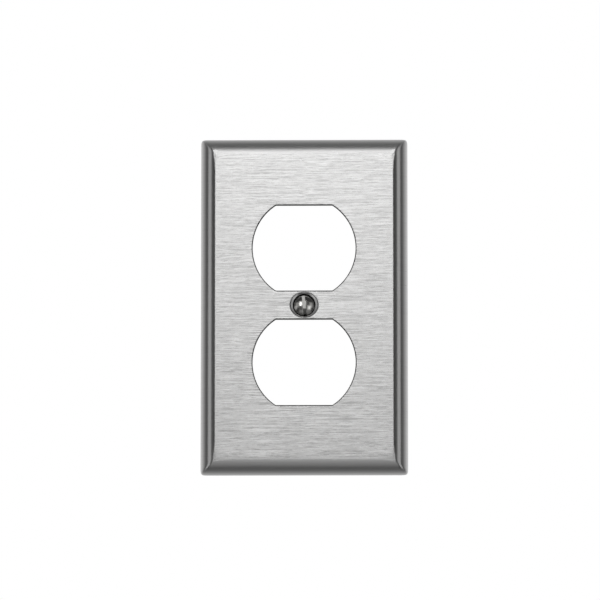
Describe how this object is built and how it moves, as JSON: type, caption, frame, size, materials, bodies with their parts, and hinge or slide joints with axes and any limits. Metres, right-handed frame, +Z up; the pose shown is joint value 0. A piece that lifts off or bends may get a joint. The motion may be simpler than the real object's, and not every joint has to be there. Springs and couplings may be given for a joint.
{
  "type": "receptacle wall plate",
  "caption": "Brushed steel wall plate with a rolled rim, two flat-sided round receptacle openings and a slotted oval-head screw in a countersunk dimple between them.",
  "frame": {"origin": "the screw's axis at the plate's centre, in the plane of the wall that the rim rests on", "axes": "+X across the plate, +Y into the wall along the screw, +Z up the plate; the face looks along -Y"},
  "size_m": [0.0698, 0.0138, 0.1142],
  "materials": {
    "brushed_stainless": "brushed across the plate",
    "polished_screw": "bright, darker than the plate"
  },
  "bodies": {
    "faceplate": {"faceplate": "brushed_stainless"},
    "mounting_screw": {"mounting_screw": "polished_screw"}
  },
  "joints": [
    {"name": "screw_turn", "type": "hinge", "parent": "faceplate", "child": "mounting_screw", "pos_m": [0, 0, 0], "axis": [0, 1, 0], "continuous": true}
  ]
}
